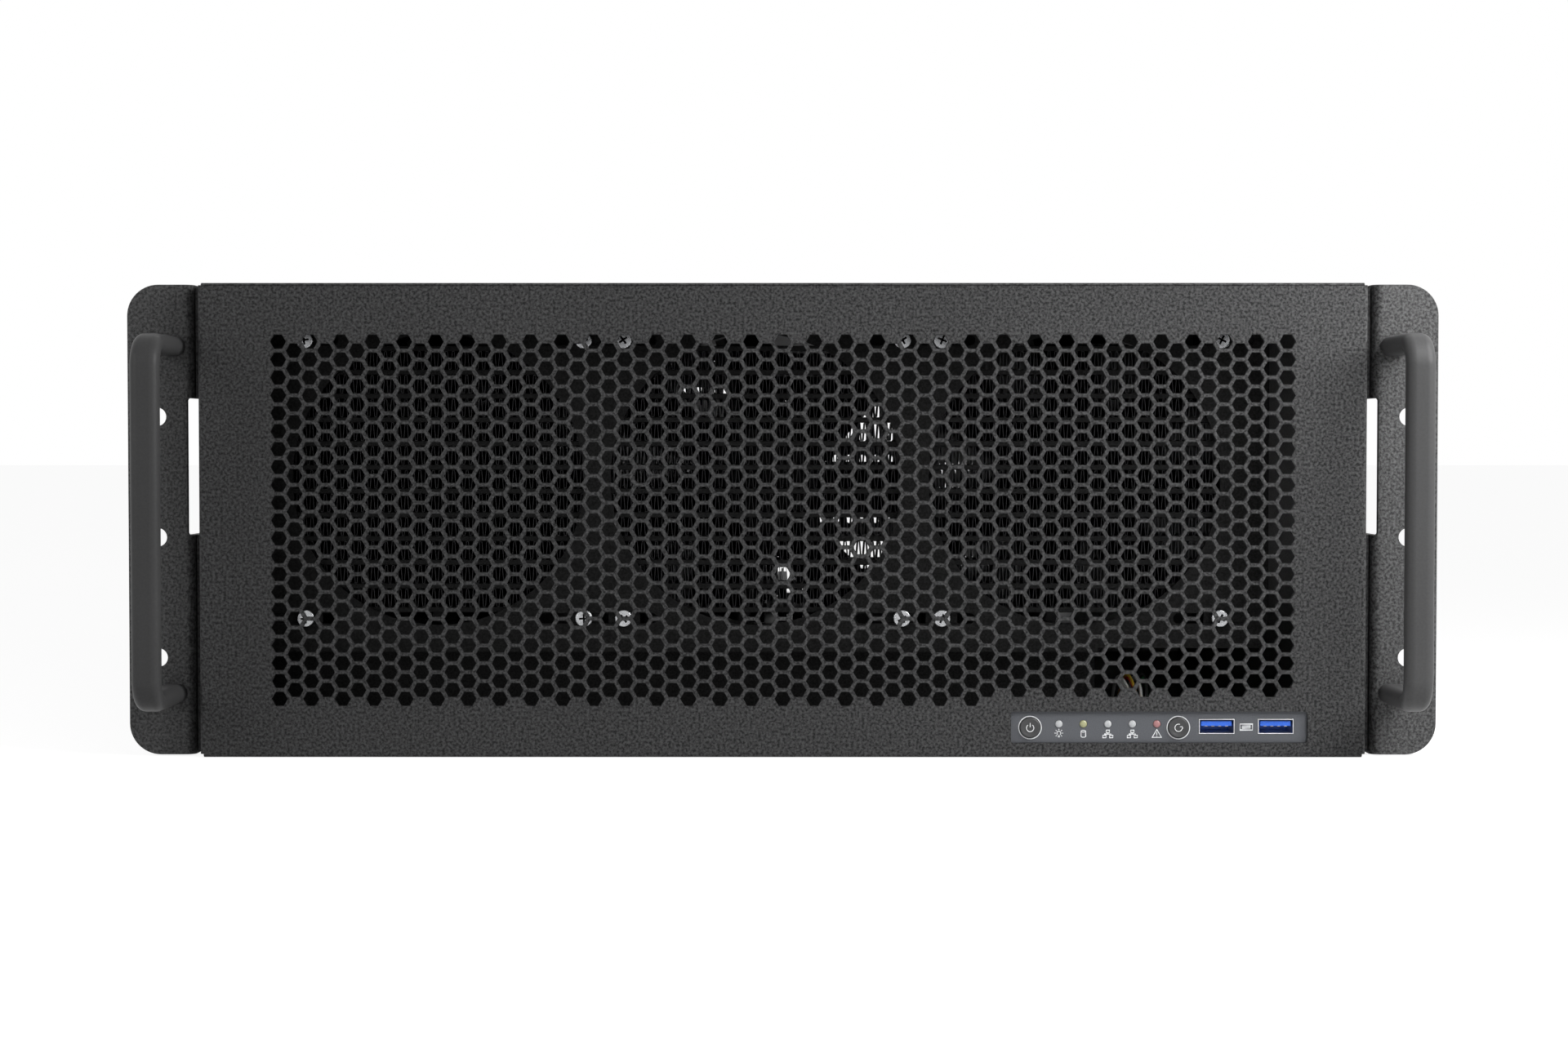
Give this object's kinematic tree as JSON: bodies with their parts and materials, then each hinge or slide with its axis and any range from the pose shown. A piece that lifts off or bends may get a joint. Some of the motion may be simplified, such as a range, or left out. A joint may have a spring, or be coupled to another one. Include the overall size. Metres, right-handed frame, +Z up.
{
  "type": "rack server",
  "caption": "Four rack unit graphics server with a hexagon mesh front, pull handles, a radiator behind the mesh and a lift-off cover.",
  "frame": {"origin": "on the surface below the chassis, at the centre of the whole outline", "axes": "+X to the right seen from the front, the front looks along -Y, +Z is up"},
  "size_m": [0.4826, 0.74, 0.174],
  "materials": {
    "chassis_paint": "fine matt powder coat, charcoal",
    "panel_paint": "fine matt powder coat, charcoal",
    "ear_paint": "fine matt powder coat, charcoal",
    "handle_paint": "satin, charcoal",
    "zinc_screws": "bright zinc",
    "dark_screws": "black zinc",
    "plate_paint": "fine matt powder coat, charcoal",
    "radiator_black": "thin black paint",
    "fin_metal": "thin black paint over bare edges",
    "fan_plastic": "matt, black",
    "rotor_plastic": "matt, black",
    "control_slate": "smooth satin, slate grey",
    "button_cap": "satin, dark grey",
    "circuit_green": "solder mask, green",
    "circuit_black": "solder mask, black",
    "lamp_lens": "clear moulded lens",
    "usb_steel": "bright tin plate",
    "usb_blue": "moulded, blue",
    "cable_jacket": "soft plastic, white",
    "socket_black": "moulded, black",
    "nickel": "nickel plate",
    "spreader_black": "anodised, black",
    "block_black": "polished acetal, black",
    "manifold_black": "acetal, black",
    "reservoir_clear": "clear acrylic",
    "hose_rubber": "matt, black",
    "bare_steel": "plain zinc-plated steel",
    "latch_green": "moulded, green"
  },
  "bodies": {
    "chassis": {"base_tray": "chassis_paint", "side_wall_left": "chassis_paint", "side_wall_right": "chassis_paint", "rear_panel": "chassis_paint", "front_brace": "chassis_paint", "front_panel": "panel_paint", "ear_left": "ear_paint", "ear_right": "ear_paint", "ear_screws": "dark_screws", "handle_left": "handle_paint", "handle_right": "handle_paint", "handle_screws": "dark_screws", "radiator_plate": "plate_paint", "radiator_tanks": "radiator_black", "radiator_tubes": "radiator_black", "radiator_fins": "fin_metal", "radiator_fittings": "manifold_black", "radiator_screws": "zinc_screws", "fan_frame_1": "fan_plastic", "fan_frame_2": "fan_plastic", "fan_frame_3": "fan_plastic", "io_plate": "control_slate", "io_board": "circuit_green", "io_lamps": "lamp_lens", "usb_shells": "usb_steel", "usb_tongues": "usb_blue", "io_cable": "cable_jacket", "mainboard": "circuit_black", "board_sockets": "socket_black", "cpu_block": "nickel", "memory_modules": "spreader_black", "rear_ports": "nickel", "gpu_card_1": "circuit_black", "gpu_card_2": "circuit_black", "gpu_card_3": "circuit_black", "gpu_card_4": "circuit_black", "gpu_block_1": "block_black", "gpu_block_2": "block_black", "gpu_block_3": "block_black", "gpu_block_4": "block_black", "coolant_manifold": "manifold_black", "reservoir": "reservoir_clear", "pump": "manifold_black", "hoses": "hose_rubber", "psu_cage": "bare_steel"},
    "cover": {"top_cover": "chassis_paint", "cover_screws": "dark_screws"},
    "power_button": {"power_button": "button_cap"},
    "reset_button": {"reset_button": "button_cap"},
    "rotor_1": {"fan_rotor_1": "rotor_plastic"},
    "rotor_2": {"fan_rotor_2": "rotor_plastic"},
    "rotor_3": {"fan_rotor_3": "rotor_plastic"},
    "supply_1": {"psu_1": "bare_steel"},
    "latch_1": {"psu_latch_1": "latch_green"},
    "supply_2": {"psu_2": "bare_steel"},
    "latch_2": {"psu_latch_2": "latch_green"},
    "supply_3": {"psu_3": "bare_steel"},
    "latch_3": {"psu_latch_3": "latch_green"},
    "supply_4": {"psu_4": "bare_steel"},
    "latch_4": {"psu_latch_4": "latch_green"}
  },
  "joints": [
    {"name": "fan_1_spin", "type": "hinge", "parent": "chassis", "child": "rotor_1", "pos_m": [-0.1275, -0.2585, 0.1017], "axis": [0, 1, 0], "continuous": true},
    {"name": "fan_2_spin", "type": "hinge", "parent": "chassis", "child": "rotor_2", "pos_m": [-0.0075, -0.2585, 0.1017], "axis": [0, 1, 0], "continuous": true},
    {"name": "fan_3_spin", "type": "hinge", "parent": "chassis", "child": "rotor_3", "pos_m": [0.1125, -0.2585, 0.1017], "axis": [0, 1, 0], "continuous": true},
    {"name": "power_press", "type": "slide", "parent": "chassis", "child": "power_button", "axis": [0, 1, 0], "range_m": [0, 0.0008], "stiffness_N_per_m": 400, "springref_m": -0.0004},
    {"name": "reset_press", "type": "slide", "parent": "chassis", "child": "reset_button", "axis": [0, 1, 0], "range_m": [0, 0.0008], "stiffness_N_per_m": 400, "springref_m": -0.0004},
    {"name": "psu_1_slide", "type": "slide", "parent": "chassis", "child": "supply_1", "axis": [0, 1, 0], "range_m": [0, 0.18]},
    {"name": "psu_1_release", "type": "hinge", "parent": "supply_1", "child": "latch_1", "pos_m": [0.2102, 0.341, 0.0226], "axis": [0, 0, 1], "range_deg": [0, 8], "stiffness_Nm_per_rad": 0.3, "springref_deg": -1.72},
    {"name": "psu_2_slide", "type": "slide", "parent": "chassis", "child": "supply_2", "axis": [0, 1, 0], "range_m": [0, 0.18]},
    {"name": "psu_2_release", "type": "hinge", "parent": "supply_2", "child": "latch_2", "pos_m": [0.2102, 0.341, 0.0644], "axis": [0, 0, 1], "range_deg": [0, 8], "stiffness_Nm_per_rad": 0.3, "springref_deg": -1.72},
    {"name": "psu_3_slide", "type": "slide", "parent": "chassis", "child": "supply_3", "axis": [0, 1, 0], "range_m": [0, 0.18]},
    {"name": "psu_3_release", "type": "hinge", "parent": "supply_3", "child": "latch_3", "pos_m": [0.2102, 0.341, 0.1062], "axis": [0, 0, 1], "range_deg": [0, 8], "stiffness_Nm_per_rad": 0.3, "springref_deg": -1.72},
    {"name": "psu_4_slide", "type": "slide", "parent": "chassis", "child": "supply_4", "axis": [0, 1, 0], "range_m": [0, 0.18]},
    {"name": "psu_4_release", "type": "hinge", "parent": "supply_4", "child": "latch_4", "pos_m": [0.2102, 0.341, 0.148], "axis": [0, 0, 1], "range_deg": [0, 8], "stiffness_Nm_per_rad": 0.3, "springref_deg": -1.72},
    {"name": "cover_lift", "type": "slide", "parent": "chassis", "child": "cover", "axis": [0, 0, 1], "range_m": [0, 0.2]}
  ]
}
